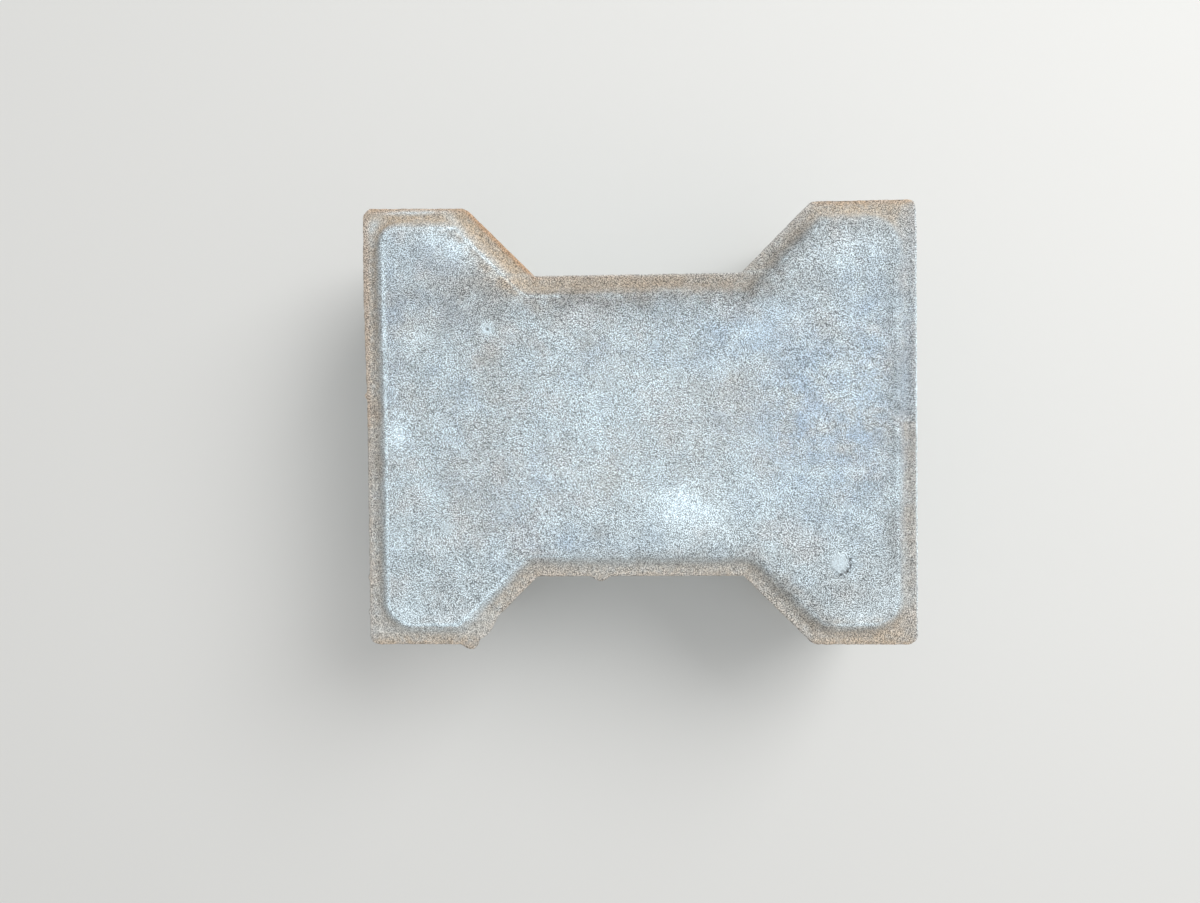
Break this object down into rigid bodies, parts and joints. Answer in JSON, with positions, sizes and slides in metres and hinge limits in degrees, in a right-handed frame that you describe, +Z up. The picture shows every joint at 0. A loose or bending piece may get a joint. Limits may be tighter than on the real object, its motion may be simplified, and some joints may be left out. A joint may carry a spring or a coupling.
{
  "type": "interlocking paving stone",
  "caption": "I-shaped interlocking concrete paving stone with a raised, bevelled walking face and a notch in each long side that takes the arms of its neighbours.",
  "frame": {"origin": "centre of the bedding face, at the bottom", "axes": "+X along the length of the stone, +Y across its arms, +Z up out of the walking face"},
  "size_m": [0.2, 0.16, 0.08],
  "materials": {
    "concrete": "dry-cast, open and sandy, weathered"
  },
  "bodies": {
    "root": {"paving_stone": "concrete"}
  },
  "joints": []
}
